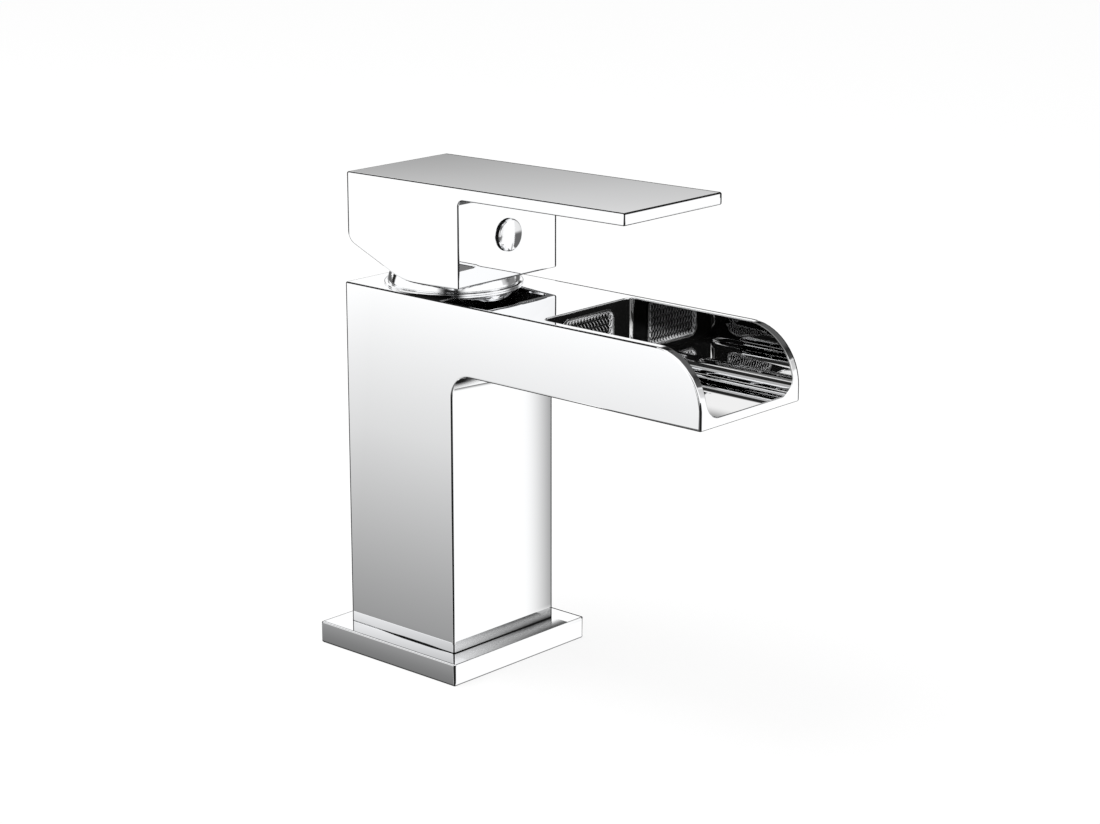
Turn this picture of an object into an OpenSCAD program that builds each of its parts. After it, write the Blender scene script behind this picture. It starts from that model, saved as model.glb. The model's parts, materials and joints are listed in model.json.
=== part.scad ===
// Single-lever waterfall basin faucet: a square cast column with an open trough spout,
// standing on a square base plate, with a 25 mm ceramic-disc cartridge under a block handle.
// Millimetres, +Z up, +X along the spout. The origin is the centre of the stud hole on the deck.

/* [Base plate] */
// Width of the square base plate
plate_w = 55; // [52:0.5:62]
// Thickness of the base plate
plate_t = 6.5; // [5:0.5:9]

/* [Body] */
// Width of the square column and of the spout
column_w = 42; // [41.5:0.5:46]
// Height of the body's top above the deck
body_h = 109.4; // [104:0.2:140]
// Least wall of the casting
wall = 3; // [2.4:0.1:3.4]

/* [Spout] */
// Distance from the column's axis to the tip of the spout
spout_reach = 110; // [95:1:130]
// Depth of the spout's section, from its underside to the body's top
spout_depth = 20.2; // [19.4:0.2:24]
// Radius of the side walls where they curve down to the tip
tip_r = 16; // [8:0.5:16]
// Radius of the fillet between the column and the spout's underside
root_r = 7; // [3:0.5:12]
// Distance from the column's axis to the trough's back wall
trough_start = 52.5; // [44:0.5:60]
// Thickness of the trough's side walls
trough_wall = 2.7; // [2:0.1:4]
// Thickness of the trough's floor
trough_floor = 2.6; // [2:0.1:3.4]
// Radius between the trough's floor and its side walls
trough_r = 5; // [2:0.5:7]
// Radius of the trough's two upright back corners
trough_back_r = 2.5; // [1:0.5:5]

/* [Water outlet] */
// Width of the outlet insert in the trough's back wall
outlet_w = 22; // [18:0.5:28]
// Height of the outlet insert
outlet_h = 14.4; // [11:0.2:14.8]
// Corner radius of the outlet insert
outlet_r = 3; // [2.6:0.2:4]
// Spacing of the bars in the outlet mesh
mesh_pitch = 1.3; // [1.1:0.1:2.5]
// Width of one bar of the mesh
mesh_bar = 0.45; // [0.3:0.05:0.6]
// Diameter of the holes in the flow straightener
straightener_hole = 1.3; // [0.8:0.1:1.6]

/* [Cartridge] */
// Diameter of the cartridge's housing
cartridge_d = 24.8; // [24.4:0.1:25]
// Distance of the cartridge's axis in front of the column's axis
cartridge_shift = 2; // [0:0.25:2.5]
// Depth of the cartridge's seat below the body's top
seat_depth = 25.4; // [25.4:0.2:27]
// Travel of the lever from closed to fully open, in degrees
lift_angle = 21; // [15:1:21]

/* [Handle] */
// How far each side of the handle lies inside the column's side
handle_inset = 0.8; // [0:0.1:1]
// Height of the handle at its back edge
handle_h = 28.8; // [27:0.2:34]
// How far the block's front face stands in front of the hollow for the dome ring
front_wall = 1.4; // [1:0.2:6]
// How far the block's back face stands behind the hollow
back_wall = 2.4; // [1.6:0.2:6]
// Distance from the cartridge's axis to the lever's tip
lever_reach = 81.2; // [60:1:100]
// Thickness of the lever plate
lever_t = 3.5; // [3:0.1:5]
// How much the lever's top rises from its back edge to its tip
lever_rise = 1.4; // [0:0.2:4]
// Diameter of the round indicator button
button_d = 9.3; // [8:0.1:11]

/* [Hidden] */
$fn = 96;

// Overrun of every cut past the face that it opens
cut = 0.2;
// Gap between a piece and the pocket that it is set into
slip = 0.1;

// Foot: inlet block, its gasket and the two water channels.
// The stud thread is M8 and the hose threads are M10, both at their tapping size.
spigot_r = 16.8;
spigot_gap = 0.2;
block_flange_r = 18;
block_flange_h = 9.5;
block_top = plate_t + block_flange_h;
gasket_t = 1.5;
socket_top = block_top + gasket_t;
stud_r = 3.4;
stud_floor_t = 2;
stud_depth = block_top - stud_floor_t;
inlet_r = 4.5;
inlet_floor_t = 4;
inlet_depth = block_top - inlet_floor_t;
inlet_offset = 10;
channel_r = 3.2;
channel_floor_t = 3;
channel_bottom = socket_top + channel_floor_t;
divider_w = 4;
channel_corner_r = 4;

// Mixed-water channel under the cartridge's seat and up into the spout
gallery_wall = 1.1;
gallery_roof_t = 2;
gallery_floor_t = 3;
riser_wall = 1.8;
riser_w = 14;
riser_gap = 5;

// Seal under the base plate
seal_in_r = 20.2;
seal_out_r = 23.4;
seal_t = 1.6;

// Spout heights
spout_under = body_h - spout_depth;
trough_bottom = spout_under + trough_floor;

// Cartridge stack, from its seat upwards
cartridge_r = cartridge_d / 2;
bore_gap = 0.2;
bore_r = cartridge_r + bore_gap;
seat_z = body_h - seat_depth;
seat_t = 12;
channel_top = seat_z - seat_t;
base_t = 4;
housing_wall = 1.7;
cavity_r = cartridge_r - housing_wall;
fixed_disc_gap = 0.3;
fixed_disc_r = cavity_r - fixed_disc_gap;
fixed_disc_bottom = seat_z + base_t;
disc_t = 3;
disc_film = 0.02;
moving_disc_bottom = fixed_disc_bottom + disc_t + disc_film;
moving_disc_r = 8.6;
carrier_bottom = moving_disc_bottom + disc_t;
carrier_t = 3;
carrier_half_w = 6.5;
disc_back_shift = 1.85;
mix_t = 1.6;
mix_w = 6.8;
mix_front = 0.8;
mix_back = -9;
mix_r = 2.5;
peg_r = 0.9;
peg_h = 0.8;
peg_offset = 4;
rotor_gap = 1;
rotor_bottom = carrier_bottom + carrier_t + rotor_gap;
rotor_flange_t = 2.4;
rotor_side_gap = 0.2;
rotor_r = cavity_r - rotor_side_gap;
washer_bottom = rotor_bottom + rotor_flange_t;
washer_t = 0.5;
cavity_top = washer_bottom + washer_t;
shoulder_t = 2.6;
shoulder_z = cavity_top + shoulder_t;
neck_bore_r = 7.1;
neck_r = 9.2;
neck_h = 6.5;
rotor_neck_r = neck_bore_r - slip;

// Ports of the cartridge, measured from its axis
inlet_port = [3, 4.4];
inlet_port_r = 1.7;
outlet_port_x = -4.2;
outlet_port_r = 2.2;
ring_in_r = 2.5;
ring_out_r = 3.4;
ring_t = 0.9;
locating_peg_r = 1.2;
locating_peg_h = 2;
locating_peg_y = 9.4;
key_w = 2.4;
key_h = 1.5;
key_depth = 1.2;

// Pivot, spindle and ball
pivot_rise = 22;
pivot_z = seat_z + pivot_rise;
pivot_r = 1.25;
pivot_half = 6.5;
pin_gap = 0.05;
ball_drop = 10;
ball_r = 1.9;
pocket_r = ball_r + slip;
ball_neck_r = 1.2;
bar_x = 4.4;
bar_y = 5;
bar_drop = 7.4;
bar_rise = 8.3;
rotor_rise = 6;
stem_w = 7;
stem_top = 24;
lug_in = carrier_half_w + slip;
lug_out = 8.5;
lug_x = 4;
lug_tip_gap = 0.5;
lug_h = rotor_bottom - carrier_bottom - lug_tip_gap;

// The slot's ends are where the bar's sides pass at full lift
slot_gap = 0.25;
bar_lean = bar_x / 2;
function bar_reach(h) = (bar_lean + h * sin(lift_angle)) / cos(lift_angle);
slot_back = bar_reach(rotor_rise) + slot_gap;
slot_front_low = bar_reach(pivot_z - rotor_bottom) + slot_gap;
slot_front = bar_reach(pivot_z - washer_bottom) + slot_gap;

// Seal on the rotor's neck, in the middle of the housing's shoulder
rotor_seal_t = 1.4;
rotor_seal_bottom = cavity_top + (shoulder_t - rotor_seal_t) / 2;
rotor_seal_depth = 0.75;
rotor_seal_in_r = rotor_neck_r - rotor_seal_depth;
rotor_seal_film = 0.05;

// Width of the handle, which also sets the dome ring and the block's length
handle_w = column_w - 2 * handle_inset;

// Nut and dome ring
nut_seat_w = 1.4;
mouth_r = bore_r + nut_seat_w;
nut_thread_r = mouth_r - slip;
nut_gap = 0.3;
nut_bore_r = neck_r + nut_gap;
nut_hex_h = 2;
collar_r = 11;
collar_h = 2.8;
collar_top = body_h + nut_hex_h + collar_h;
dome_seal_t = 1.2;
dome_seal_in_r = 10.2;
dome_seal_bottom = body_h + nut_hex_h + (collar_h - dome_seal_t) / 2;
dome_gap = 0.3;
dome_bore_r = collar_r + dome_gap;
dome_inset = 0.7;
dome_r = handle_w / 2 - dome_inset;
dome_skirt_t = 3.4;
dome_skirt_r = dome_r - dome_skirt_t;
nut_corner_gap = 0.4;
nut_corner_r = dome_skirt_r - nut_corner_gap;
dome_roof_t = 1.7;
dome_top = collar_top + dome_gap;
dome_lip_w = 0.4;
dome_lip_r = dome_r + dome_lip_w;
dome_lip_h = 0.7;

// Handle: heights of its outline, and the hollow that clears the dome ring
handle_gap = 3.1;
front_rise = 0.9;
heel_rise = 9.1;
heel_blend_r = 25;
heel_r = 4;
plate_root_r = 1.8;
plate_edge_r = 0.6;
hollow_gap = 0.5;
hollow_r = dome_r + hollow_gap;
pocket_wall = 1.6;
pocket_h = 8;
pocket_back = 8;
pocket_corner_r = 2;
block_front = hollow_r + front_wall;
block_back = hollow_r + back_wall;
handle_bottom = body_h + handle_gap;
handle_top = handle_bottom + handle_h;
boss_r = 6.5;
boss_rise = 13;
boss_bottom = pivot_z + boss_rise;
socket_gap = 0.05;
socket_top_gap = 0.4;

// Set screw and button on the block's front face
screw_rise = 19.9;
screw_z = pivot_z + screw_rise;
screw_r = 2.4;
screw_core_r = 2.5;
screw_l = 8;
key_socket_w = 2.5;
key_socket_depth = 3;
button_r = button_d / 2;
button_proud = 0.7;
button_dome = 0.7;
button_shank_r = 3;
button_shank_l = 4.5;
button_shank_gap = 0.05;

// Outlet insert
frame_proud = 0.8;
frame_rim = 0.6;
mesh_t = 0.4;
spigot_in = 1;
lip_t = 0.6;
lip_w = 0.6;
insert_wall = 0.8;
outlet_wall = 2.5;
window_x = trough_start - outlet_wall;
outlet_z = (trough_bottom + body_h) / 2;
straightener_bar = 0.7;

function unit(v) = v / norm(v);
function left(v) = [-v[1], v[0]];
function before(p, i) = unit(p[i] - p[(i + len(p) - 1) % len(p)]);
function after(p, i) = unit(p[(i + 1) % len(p)] - p[i]);
function turn(p, i) = sign(cross(before(p, i), after(p, i)));

// The arc that rounds a corner of an outline, as its start, its centre and its end
function corner_arc(p, i, r) =
  let (reach = r * tan(acos(before(p, i) * after(p, i)) / 2),
       start = p[i] - before(p, i) * reach)
  [start, start + turn(p, i) * r * left(before(p, i)), p[i] + after(p, i) * reach];

// What rounding takes off an outward corner, with an overrun past the outline
module corner_sliver(points, i, r) {
  arc = corner_arc(points, i, r);
  out_in = -left(before(points, i));
  out_out = -left(after(points, i));
  apex = points[i] + (out_in + out_out) * cut / (1 + out_in * out_out);
  difference() {
    polygon([arc[1], arc[0], arc[0] + out_in * cut, apex, arc[2] + out_out * cut, arc[2]]);
    translate(arc[1]) circle(r);
  }
}

// An outline, counterclockwise, with each corner rounded by its own radius.
// An inward corner is first filled out to the centre of its arc, then cut by a circle.
module rounded_outline(points, radii) {
  rounded = [for (i = [0 : len(points) - 1]) if (radii[i] > 0) i];
  inward = [for (i = rounded) if (turn(points, i) < 0) i];
  outward = [for (i = rounded) if (turn(points, i) > 0) i];
  filled = [for (i = [0 : len(points) - 1])
    each (radii[i] > 0 && turn(points, i) < 0) ? corner_arc(points, i, radii[i]) : [points[i]]];
  difference() {
    polygon(filled);
    for (i = outward) corner_sliver(points, i, radii[i]);
    for (i = inward) translate(corner_arc(points, i, radii[i])[1]) circle(radii[i]);
  }
}

// A rectangle about the origin with four round corners
module rounded_box(w, h, r) {
  square([w - 2 * r, h], center = true);
  square([w, h - 2 * r], center = true);
  for (x = [-1, 1], y = [-1, 1])
    translate([x * (w / 2 - r), y * (h / 2 - r)]) circle(r);
}

// Turns a flat outline so that it faces along the spout and gives it a thickness
module facing_x(x, t) {
  translate([x, 0, 0]) rotate([90, 0, 90]) linear_extrude(t) children();
}

// Turns a side view upright and gives it a width across the faucet
module side_view(w) {
  rotate([90, 0, 0]) linear_extrude(w, center = true) children();
}

module on_axis() {
  translate([cartridge_shift, 0, 0]) children();
}

module tube(r_out, r_in, z, h) {
  translate([0, 0, z]) difference() {
    cylinder(r = r_out, h = h);
    translate([0, 0, -cut]) cylinder(r = r_in, h = h + 2 * cut);
  }
}

// Places three copies, one on each port of the cartridge
module on_ports() {
  for (y = [-1, 1]) translate([inlet_port[0], y * inlet_port[1], 0]) children();
  translate([outlet_port_x, 0, 0]) children();
}

module port_holes(z, h, gap = 0) {
  for (y = [-1, 1])
    translate([inlet_port[0], y * inlet_port[1], z]) cylinder(r = inlet_port_r + gap, h = h);
  translate([outlet_port_x, 0, z]) cylinder(r = outlet_port_r + gap, h = h);
}

// Side view of the casting: column, round-nosed spout and the fillet between them
module body_outline() {
  half = column_w / 2;
  rounded_outline(
    [[-half, plate_t], [half, plate_t], [half, spout_under], [spout_reach, spout_under],
     [spout_reach, body_h], [-half, body_h]],
    [0, 0, root_r, 0, tip_r, 0]);
}

// The open channel that the water runs along
module trough() {
  half = column_w / 2 - trough_wall;
  length = spout_reach - trough_start + cut;
  top = body_h + cut;
  intersection() {
    facing_x(trough_start, length)
      rounded_outline(
        [[-half, trough_bottom], [half, trough_bottom], [half, top], [-half, top]],
        [trough_r, trough_r, 0, 0]);
    translate([0, 0, spout_under]) linear_extrude(spout_depth + 2 * cut)
      rounded_outline(
        [[trough_start, -half], [trough_start + length, -half],
         [trough_start + length, half], [trough_start, half]],
        [trough_back_r, 0, 0, trough_back_r]);
  }
}

// Hot and cold channels from the foot to the cartridge's seat, one on each side
module inlet_channels() {
  inner = column_w / 2 - wall;
  depth = inner - divider_w / 2;
  for (y = [-1, 1]) {
    translate([0, y * inlet_offset, socket_top - cut])
      cylinder(r = channel_r, h = channel_floor_t + 2 * cut);
    translate([0, y * (divider_w + depth) / 2, channel_bottom])
      linear_extrude(channel_top - channel_bottom) rounded_box(2 * inner, depth, channel_corner_r);
  }
}

// Mixed water: down from the outlet port, forward under the seat, up into the hollow spout
module mixed_channel() {
  inner = column_w / 2 - wall;
  gallery_half = inlet_port[1] - inlet_port_r - gallery_wall;
  gallery_top = seat_z - gallery_roof_t;
  gallery_bottom = channel_top + gallery_floor_t;
  riser_x = cartridge_shift + bore_r + riser_wall;
  riser_top = shoulder_z - riser_gap;
  back = cartridge_shift + outlet_port_x;
  hollow_top = body_h - wall;
  translate([back, -gallery_half, gallery_bottom])
    cube([riser_x - back + cut, 2 * gallery_half, gallery_top - gallery_bottom]);
  translate([back, 0, gallery_bottom])
    cylinder(r = outlet_port_r, h = seat_z - gallery_bottom + cut);
  translate([riser_x, -riser_w / 2, gallery_bottom])
    cube([inner - riser_x, riser_w, riser_top - gallery_bottom]);
  translate([0, 0, (trough_bottom + hollow_top) / 2])
    facing_x(inner - cut, window_x - inner + cut)
      rounded_box(2 * inner, hollow_top - trough_bottom, channel_corner_r);
}

module outlet_outline(inset) {
  rounded_box(outlet_w - 2 * inset, outlet_h - 2 * inset, outlet_r - inset);
}

module faucet_body() {
  color("gainsboro") difference() {
    side_view(column_w) body_outline();
    trough();
    translate([0, 0, plate_t - cut])
      cylinder(r = block_flange_r + spigot_gap, h = socket_top - plate_t + cut);
    inlet_channels();
    mixed_channel();
    translate([0, 0, outlet_z]) facing_x(window_x - cut, outlet_wall + 2 * cut)
      outlet_outline(spigot_in - slip);
    on_axis() {
      translate([0, 0, seat_z]) cylinder(r = bore_r, h = seat_depth + cut);
      translate([0, 0, shoulder_z]) cylinder(r = mouth_r, h = body_h - shoulder_z + cut);
      for (y = [-1, 1]) {
        translate([inlet_port[0], y * inlet_port[1], channel_top - cut])
          cylinder(r = inlet_port_r, h = seat_t + 2 * cut);
        translate([0, y * locating_peg_y, seat_z - locating_peg_h - cut])
          cylinder(r = locating_peg_r + slip, h = locating_peg_h + 2 * cut);
      }
    }
  }
}

module base_plate() {
  color("gainsboro") difference() {
    translate([0, 0, plate_t / 2]) cube([plate_w, plate_w, plate_t], center = true);
    translate([0, 0, -cut]) cylinder(r = spigot_r + spigot_gap, h = plate_t + 2 * cut);
    tube(seal_out_r, seal_in_r, -cut, seal_t + cut);
  }
}

module base_seal() {
  color("dimgray") tube(seal_out_r, seal_in_r, 0, seal_t);
}

// Holds the fixing stud and the two hose ends; its flange stands on the base plate
module inlet_block() {
  color("goldenrod") difference() {
    union() {
      cylinder(r = spigot_r, h = plate_t);
      translate([0, 0, plate_t]) cylinder(r = block_flange_r, h = block_flange_h);
    }
    translate([0, 0, -cut]) cylinder(r = stud_r, h = stud_depth + cut);
    for (y = [-1, 1]) translate([0, y * inlet_offset, -cut]) {
      cylinder(r = inlet_r, h = inlet_depth + cut);
      cylinder(r = channel_r, h = block_top + 2 * cut);
    }
  }
}

module inlet_gasket() {
  color("black") difference() {
    translate([0, 0, block_top]) cylinder(r = block_flange_r, h = gasket_t);
    for (y = [-1, 1]) translate([0, y * inlet_offset, block_top - cut])
      cylinder(r = channel_r, h = gasket_t + 2 * cut);
  }
}

// Insert in the trough's back wall: a thin rim outside, a spigot through the wall
module outlet_frame() {
  color("silver") translate([0, 0, outlet_z]) difference() {
    union() {
      facing_x(trough_start, frame_proud) outlet_outline(0);
      facing_x(window_x, outlet_wall) outlet_outline(spigot_in);
    }
    facing_x(trough_start + frame_proud - mesh_t, mesh_t + cut) outlet_outline(frame_rim);
    facing_x(window_x + lip_t, outlet_wall + frame_proud)
      outlet_outline(spigot_in + insert_wall);
    facing_x(window_x - cut, outlet_wall) outlet_outline(spigot_in + insert_wall + lip_w);
  }
}

// Fine square mesh, flush with the rim of its frame
module outlet_mesh() {
  w = outlet_w - 2 * frame_rim;
  h = outlet_h - 2 * frame_rim;
  across = floor((w - 2 * mesh_bar) / mesh_pitch);
  up = floor((h - 2 * mesh_bar) / mesh_pitch);
  hole = mesh_pitch - mesh_bar;
  color("gray") translate([0, 0, outlet_z])
    facing_x(trough_start + frame_proud - mesh_t, mesh_t) difference() {
      outlet_outline(frame_rim + slip);
      for (i = [0 : across - 1], j = [0 : up - 1])
        if (!(i % (across - 1) == 0 && j % (up - 1) == 0))
          translate([(i - (across - 1) / 2) * mesh_pitch, (j - (up - 1) / 2) * mesh_pitch])
            square(hole, center = true);
    }
}

// Perforated plate that calms the water before the mesh
module flow_straightener() {
  inset = spigot_in + insert_wall + slip;
  pitch = straightener_hole + straightener_bar;
  w = outlet_w - 2 * inset;
  h = outlet_h - 2 * inset;
  across = floor((w - 2 * slip) / pitch);
  up = floor((h - 2 * slip) / pitch);
  color("whitesmoke") translate([0, 0, outlet_z])
    facing_x(window_x + lip_t, outlet_wall - lip_t + frame_proud - mesh_t) difference() {
      outlet_outline(inset);
      for (i = [0 : across - 1], j = [0 : up - 1])
        if (!(i % (across - 1) == 0 && j % (up - 1) == 0))
          translate([(i - (across - 1) / 2) * pitch, (j - (up - 1) / 2) * pitch])
            circle(d = straightener_hole, $fn = 24);
    }
}

// Bottom of the cartridge: ports, seal grooves, pegs into the seat, keys for the disc
module cartridge_base() {
  color("white") on_axis() difference() {
    union() {
      translate([0, 0, seat_z]) cylinder(r = cartridge_r, h = base_t);
      for (y = [-1, 1]) {
        translate([0, y * locating_peg_y, seat_z - locating_peg_h])
          cylinder(r = locating_peg_r, h = locating_peg_h + cut);
        translate([-key_w / 2, y * (fixed_disc_r - key_depth / 2) - key_depth / 2,
                   fixed_disc_bottom - cut])
          cube([key_w, key_depth, key_h + cut]);
      }
    }
    port_holes(seat_z - cut, base_t + 2 * cut);
    on_ports() {
      tube(ring_out_r, ring_in_r, seat_z - cut, ring_t + cut);
      tube(ring_out_r, ring_in_r, fixed_disc_bottom - ring_t, ring_t + cut);
    }
  }
}

module port_seals() {
  color("black") on_axis() on_ports() tube(ring_out_r, ring_in_r, seat_z, ring_t);
}

module disc_seals() {
  color("black") on_axis() on_ports()
    tube(ring_out_r, ring_in_r, fixed_disc_bottom - ring_t, ring_t);
}

module fixed_disc() {
  color("ivory") on_axis() difference() {
    translate([0, 0, fixed_disc_bottom]) cylinder(r = fixed_disc_r, h = disc_t);
    port_holes(fixed_disc_bottom - cut, disc_t + 2 * cut);
    for (y = [-1, 1])
      translate([-key_w / 2 - slip, y * fixed_disc_r - key_depth - slip,
                 fixed_disc_bottom - cut])
        cube([key_w + 2 * slip, 2 * (key_depth + slip), key_h + slip + cut]);
  }
}

// Pegs that make the carrier and the moving disc slide as one
module carrier_pegs(gap) {
  for (y = [-1, 1])
    translate([-disc_back_shift, y * peg_offset, carrier_bottom - peg_h - gap])
      cylinder(r = peg_r + gap / 2, h = peg_h + gap + cut);
}

// Slides and turns on the fixed disc; the pocket under it joins the ports when it moves
module moving_disc() {
  color("ivory") on_axis() difference() {
    translate([-disc_back_shift, 0, moving_disc_bottom]) cylinder(r = moving_disc_r, h = disc_t);
    translate([(mix_front + mix_back) / 2, 0, moving_disc_bottom - cut])
      linear_extrude(mix_t + cut)
        rounded_box(mix_front - mix_back, mix_w, mix_r);
    carrier_pegs(slip);
  }
}

// Holds the moving disc, guided by the rotor's lugs and pushed by the spindle's ball
module disc_carrier() {
  color("darkorange") on_axis() {
    difference() {
      intersection() {
        translate([-disc_back_shift, 0, carrier_bottom])
          cylinder(r = moving_disc_r, h = carrier_t);
        translate([-disc_back_shift - moving_disc_r - cut, -carrier_half_w, carrier_bottom])
          cube([2 * (moving_disc_r + cut), 2 * carrier_half_w, carrier_t]);
      }
      translate([0, 0, carrier_bottom - cut]) cylinder(r = pocket_r, h = carrier_t + 2 * cut);
    }
    carrier_pegs(0);
  }
}

module cartridge_housing() {
  wall_h = cavity_top - fixed_disc_bottom;
  color("white") on_axis() difference() {
    union() {
      translate([0, 0, fixed_disc_bottom]) cylinder(r = cartridge_r, h = wall_h + shoulder_t);
      translate([0, 0, shoulder_z - cut]) cylinder(r = neck_r, h = neck_h + cut);
    }
    translate([0, 0, fixed_disc_bottom - cut]) cylinder(r = cavity_r, h = wall_h + cut);
    translate([0, 0, cavity_top - cut]) cylinder(r = neck_bore_r, h = shoulder_t + neck_h + 2 * cut);
  }
}

module slip_washer() {
  color("tan") on_axis() tube(cavity_r - slip, neck_bore_r + slip, washer_bottom, washer_t);
}

// Turns with the handle: a flange with two driving lugs and a slotted neck for the spindle
module rotor() {
  neck_top = pivot_z + rotor_rise;
  color("lightgray") on_axis() difference() {
    union() {
      translate([0, 0, rotor_bottom]) cylinder(r = rotor_r, h = rotor_flange_t);
      translate([0, 0, washer_bottom - cut])
        cylinder(r = rotor_neck_r, h = neck_top - washer_bottom + cut);
      for (y = [-1, 1])
        translate([-lug_x, (y * (lug_in + lug_out) - (lug_out - lug_in)) / 2,
                   rotor_bottom - lug_h])
          cube([2 * lug_x, lug_out - lug_in, lug_h + cut]);
    }
    translate([-slot_back, -bar_y / 2 - slip, rotor_bottom - cut])
      cube([slot_back + slot_front, bar_y + 2 * slip, neck_top - rotor_bottom + 2 * cut]);
    translate([-slot_back, -bar_y / 2 - slip, rotor_bottom - cut])
      cube([slot_back + slot_front_low, bar_y + 2 * slip, rotor_flange_t + cut]);
    tube(rotor_neck_r + cut, rotor_seal_in_r, rotor_seal_bottom, rotor_seal_t);
    translate([0, 0, pivot_z]) rotate([90, 0, 0])
      cylinder(r = pivot_r, h = 2 * pivot_half, center = true);
  }
}

module rotor_seal() {
  color("black") on_axis()
    tube(neck_bore_r - rotor_seal_film, rotor_seal_in_r, rotor_seal_bottom, rotor_seal_t);
}

module pivot_pin() {
  color("silver") on_axis() translate([0, 0, pivot_z]) rotate([90, 0, 0])
    cylinder(r = pivot_r, h = 2 * pivot_half, center = true);
}

// Rocks on the pin: ball below, flat bar through the rotor's slot, square stem above
module spindle() {
  color("goldenrod") on_axis() translate([0, 0, pivot_z]) difference() {
    union() {
      translate([0, 0, -ball_drop]) sphere(ball_r);
      translate([0, 0, -ball_drop]) cylinder(r = ball_neck_r, h = ball_drop - bar_drop + cut);
      translate([-bar_x / 2, -bar_y / 2, -bar_drop])
        cube([bar_x, bar_y, bar_drop + bar_rise + cut]);
      translate([-stem_w / 2, -stem_w / 2, bar_rise])
        cube([stem_w, stem_w, stem_top - bar_rise]);
    }
    rotate([90, 0, 0])
      cylinder(r = pivot_r + pin_gap, h = bar_y + 2 * cut, center = true);
  }
}

// Screws into the body's mouth and presses the cartridge on its seat
module cartridge_nut() {
  color("goldenrod") on_axis() difference() {
    union() {
      translate([0, 0, shoulder_z]) {
        cylinder(r = nut_thread_r, h = body_h - shoulder_z);
        cylinder(r = collar_r, h = collar_top - shoulder_z);
      }
      translate([0, 0, body_h]) cylinder(r = nut_corner_r, h = nut_hex_h, $fn = 6);
    }
    translate([0, 0, shoulder_z - cut])
      cylinder(r = nut_bore_r, h = collar_top - shoulder_z + 2 * cut);
    tube(collar_r + cut, dome_seal_in_r, dome_seal_bottom, dome_seal_t);
  }
}

module dome_seal() {
  color("black") on_axis()
    tube(dome_bore_r, dome_seal_in_r, dome_seal_bottom, dome_seal_t);
}

// A band of a sphere about the lever's pivot, so that the handle clears it as it rocks
module dome_ring() {
  color("gainsboro") on_axis() difference() {
    union() {
      intersection() {
        translate([0, 0, pivot_z]) sphere(dome_r);
        translate([0, 0, body_h]) cylinder(r = 2 * dome_r, h = dome_top - body_h);
      }
      translate([0, 0, body_h]) cylinder(r = dome_lip_r, h = dome_lip_h);
    }
    translate([0, 0, body_h - cut])
      cylinder(r = dome_skirt_r, h = dome_top - dome_roof_t - body_h + cut);
    translate([0, 0, body_h - cut]) cylinder(r = dome_bore_r, h = dome_top - body_h + 2 * cut);
  }
}

// Side view of the handle about the cartridge's axis: block with a sloping heel, and lever plate
module handle_outline() {
  slope = lever_rise / (lever_reach + block_back);
  root_top = handle_top + slope * (block_front + block_back);
  tip_top = handle_top + lever_rise;
  rounded_outline(
    [[0, handle_bottom], [block_front, handle_bottom + front_rise],
     [block_front, root_top - lever_t], [lever_reach, tip_top - lever_t],
     [lever_reach, tip_top], [-block_back, handle_top],
     [-block_back, handle_bottom + heel_rise]],
    [heel_blend_r, plate_edge_r, plate_root_r, plate_edge_r, plate_edge_r, plate_edge_r, heel_r]);
}

// Shallow pocket that leaves the block with thin walls below, also beside the dome ring
module block_pocket() {
  front = block_front - pocket_wall;
  translate([(front - pocket_back) / 2, 0, handle_bottom - cut])
    linear_extrude(pocket_h + cut)
      rounded_box(front + pocket_back, handle_w - 2 * pocket_wall, pocket_corner_r);
}

// One casting: the block is hollowed by a sphere about the pivot, with a boss for the spindle
module handle() {
  socket_w = stem_w + 2 * socket_gap;
  color("gainsboro") on_axis() difference() {
    union() {
      difference() {
        side_view(handle_w) handle_outline();
        translate([0, 0, pivot_z]) sphere(hollow_r);
        block_pocket();
      }
      translate([0, 0, boss_bottom])
        cylinder(r = boss_r, h = pivot_z + hollow_r - boss_bottom + cut);
    }
    translate([-socket_w / 2, -socket_w / 2, boss_bottom - cut])
      cube([socket_w, socket_w, pivot_z + stem_top + socket_top_gap - boss_bottom + cut]);
    translate([0, 0, screw_z]) rotate([0, 90, 0]) {
      cylinder(r = screw_core_r, h = block_front + cut);
      translate([0, 0, block_front - button_shank_l])
        cylinder(r = button_shank_r + button_shank_gap, h = button_shank_l + cut);
    }
  }
}

// Headless screw that bears on the spindle's stem
module set_screw() {
  color("dimgray") on_axis() translate([stem_w / 2, 0, screw_z]) rotate([0, 90, 0])
    difference() {
      cylinder(r = screw_r, h = screw_l);
      translate([0, 0, screw_l - key_socket_depth])
        cylinder(d = key_socket_w / cos(30), h = key_socket_depth + cut, $fn = 6);
    }
}

// Low dome on a plain rim, with a shank that plugs the screw's hole
module indicator_button() {
  cap_r = (button_r * button_r + button_dome * button_dome) / (2 * button_dome);
  color("whitesmoke") on_axis() translate([block_front, 0, screw_z]) rotate([0, 90, 0]) {
    cylinder(r = button_r, h = button_proud);
    translate([0, 0, -button_shank_l]) cylinder(r = button_shank_r, h = button_shank_l + cut);
    intersection() {
      translate([0, 0, button_proud + button_dome - cap_r]) sphere(cap_r);
      translate([0, 0, button_proud - cut]) cylinder(r = button_r, h = button_dome + 2 * cut);
    }
  }
}

faucet_body();
base_plate();
base_seal();
inlet_block();
inlet_gasket();
outlet_frame();
outlet_mesh();
flow_straightener();
cartridge_base();
port_seals();
disc_seals();
fixed_disc();
moving_disc();
disc_carrier();
cartridge_housing();
slip_washer();
rotor();
rotor_seal();
pivot_pin();
spindle();
cartridge_nut();
dome_seal();
dome_ring();
handle();
set_screw();
indicator_button();
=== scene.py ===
import json
import math

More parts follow.
